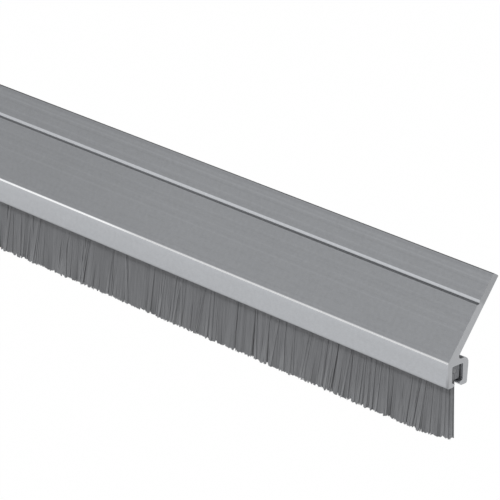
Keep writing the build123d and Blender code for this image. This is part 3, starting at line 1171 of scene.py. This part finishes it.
def softbox(name, aim, place, width, height, power):
    """Rectangular area lamp that faces a point."""
    lamp = bpy.data.lights.new(name, "AREA")
    lamp.shape = "RECTANGLE"
    lamp.size = width
    lamp.size_y = height
    lamp.energy = power
    light = bpy.data.objects.new(name, lamp)
    bpy.context.scene.collection.objects.link(light)
    light.location = place
    direction = Vector(aim) - Vector(place)
    light.rotation_mode = "QUATERNION"
    light.rotation_quaternion = direction.to_track_quat("-Z", "Y")


class SEAL_OT_stage(bpy.types.Operator):
    """Make the floor, the world, the lamps and the photograph's camera"""
    bl_idname = "seal.stage"
    bl_label = "Stage"

    def execute(self, context):
        scene = context.scene
        self.floor(scene)
        self.world(scene)
        self.lamps()
        self.camera(scene)
        scene.view_settings.view_transform = "Standard"
        return {"FINISHED"}

    def floor(self, scene):
        """Wide pale floor, white to the eye and in reflections, that keeps a soft shadow."""
        level = bristle_low.z - scene.seal_studio.floor_depth
        mesh = bpy.data.meshes.new("floor")
        corners = [(x * FLOOR_HALF, y * FLOOR_HALF, level)
                   for x, y in ((-1, -1), (1, -1), (1, 1), (-1, 1))]
        mesh.from_pydata(corners, [], [(0, 1, 2, 3)])
        floor = bpy.data.objects.new("floor", mesh)
        scene.collection.objects.link(floor)
        finish = new_finish("studio_floor")
        path = finish.node("ShaderNodeLightPath")
        seen = path["Is Camera Ray"].larger(path["Is Glossy Ray"])
        seen = seen.larger(path["Is Transmission Ray"])
        matt = finish.node("ShaderNodeBsdfDiffuse", None,
                           {"Color": (*scene.seal_colours.floor, 1.0)})["BSDF"]
        white = finish.node("ShaderNodeEmission", None,
                            {"Color": (1.0, 1.0, 1.0, 1.0), "Strength": 1.0})["Emission"]
        mix = {0: seen * FLOOR_WHITE, 1: matt, 2: white}
        mixed = finish.node("ShaderNodeMixShader", None, mix)[0]
        finish.node("ShaderNodeOutputMaterial", None, {"Surface": mixed})
        mesh.materials.append(finish.owner)

    def world(self, scene):
        """White behind the seal. In reflections it is white at the horizon and falls to a
        ceiling that is pale in front and dark behind, as in a room with one large pale wall.
        The fill that lights matt surfaces is a little stronger from the right."""
        world = bpy.data.worlds.new("studio")
        scene.world = world
        finish = Finish(world)
        path = finish.node("ShaderNodeLightPath")
        ray = finish.node("ShaderNodeTexCoord")["Generated"]
        parts = finish.node("ShaderNodeSeparateXYZ", None, {"Vector": ray})
        ceiling = parts["Y"].over(FRONT_WALL) + DARKEST
        room = parts["Z"].over(HORIZON) * (1.0 - ceiling) + ceiling
        glossy = path["Is Glossy Ray"]
        seen = path["Is Camera Ray"].larger(path["Is Transmission Ray"])
        fill = parts["X"] * FILL_ASIDE + FILL
        strength = glossy * room + (1.0 - glossy) * fill
        strength = seen + (1.0 - seen) * strength
        light = finish.node("ShaderNodeBackground", None,
                            {"Color": (1.0, 1.0, 1.0, 1.0), "Strength": strength})
        finish.node("ShaderNodeOutputWorld", None, {"Surface": light["Background"]})

    def lamps(self):
        """One large key lamp in front, above and to the right, aimed near the seal's end."""
        aim = (bristle_high.x - AIM_FROM_END, 0.0, 0.0)
        softbox("key", aim, KEY_PLACE, KEY_WIDTH, KEY_HEIGHT, KEY_POWER)

    def camera(self, scene):
        """The camera stands back from the bend's near corner along its line of sight, and
        aside and up so that the corner falls on its pixel of the photograph."""
        studio = scene.seal_studio
        azimuth = studio.azimuth
        elevation = studio.elevation
        back = Vector((sin(azimuth) * cos(elevation), -cos(azimuth) * cos(elevation),
                       sin(elevation)))
        right = Vector((cos(azimuth), sin(azimuth), 0.0))
        up = right.cross(-back)
        origin_y, origin_z = datum()
        corner = Vector((carrier_high.x, -origin_y, -origin_z))
        pixel = studio.distance * SENSOR / (studio.focal * PHOTO_SIDE)
        aside = (studio.corner_column - PHOTO_SIDE / 2) * pixel
        below = (studio.corner_row - PHOTO_SIDE / 2) * pixel
        lens = bpy.data.cameras.new("photo_camera")
        lens.sensor_width = SENSOR
        lens.lens = studio.focal
        lens.clip_start = CLIP_START
        lens.clip_end = CLIP_END
        camera = bpy.data.objects.new("photo_camera", lens)
        scene.collection.objects.link(camera)
        camera.location = corner + back * studio.distance - right * aside + up * below
        camera.rotation_mode = "QUATERNION"
        camera.rotation_quaternion = (-back).to_track_quat("-Z", "Y")
        scene.camera = camera


class SEAL_PT_parts(bpy.types.Panel):
    """Lists the seal's pieces in the sidebar"""
    bl_label = "Brush seal"
    bl_idname = "SEAL_PT_parts"
    bl_space_type = "VIEW_3D"
    bl_region_type = "UI"
    bl_category = "Brush seal"

    def draw(self, context):
        for operator in operators:
            self.layout.operator(operator.bl_idname)
        for name in groups:
            settings = getattr(context.scene, name)
            box = self.layout.box()
            for key in settings.__annotations__:
                box.prop(settings, key)


groups = {"seal_carrier": CarrierSizes, "seal_brush": BrushSizes,
          "seal_colours": SealColours, "seal_studio": StudioView}
operators = (SEAL_OT_carrier, SEAL_OT_spine, SEAL_OT_fold, SEAL_OT_bristles, SEAL_OT_stage)


def register():
    """Registers the classes and hangs the settings on the scene."""
    for group in (*groups.values(), *operators, SEAL_PT_parts):
        bpy.utils.register_class(group)
    for name, group in groups.items():
        setattr(bpy.types.Scene, name, PointerProperty(type=group))


def unregister():
    """Takes the settings off the scene and the classes out of Blender."""
    for name in groups:
        delattr(bpy.types.Scene, name)
    for group in (SEAL_PT_parts, *reversed(operators), *reversed(groups.values())):
        bpy.utils.unregister_class(group)


def main():
    """Makes every piece."""
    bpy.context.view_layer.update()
    register()
    bpy.ops.seal.carrier()
    bpy.ops.seal.spine()
    bpy.ops.seal.fold()
    bpy.ops.seal.bristles()
    bpy.ops.seal.stage()


if __name__ == "__main__":
    main()
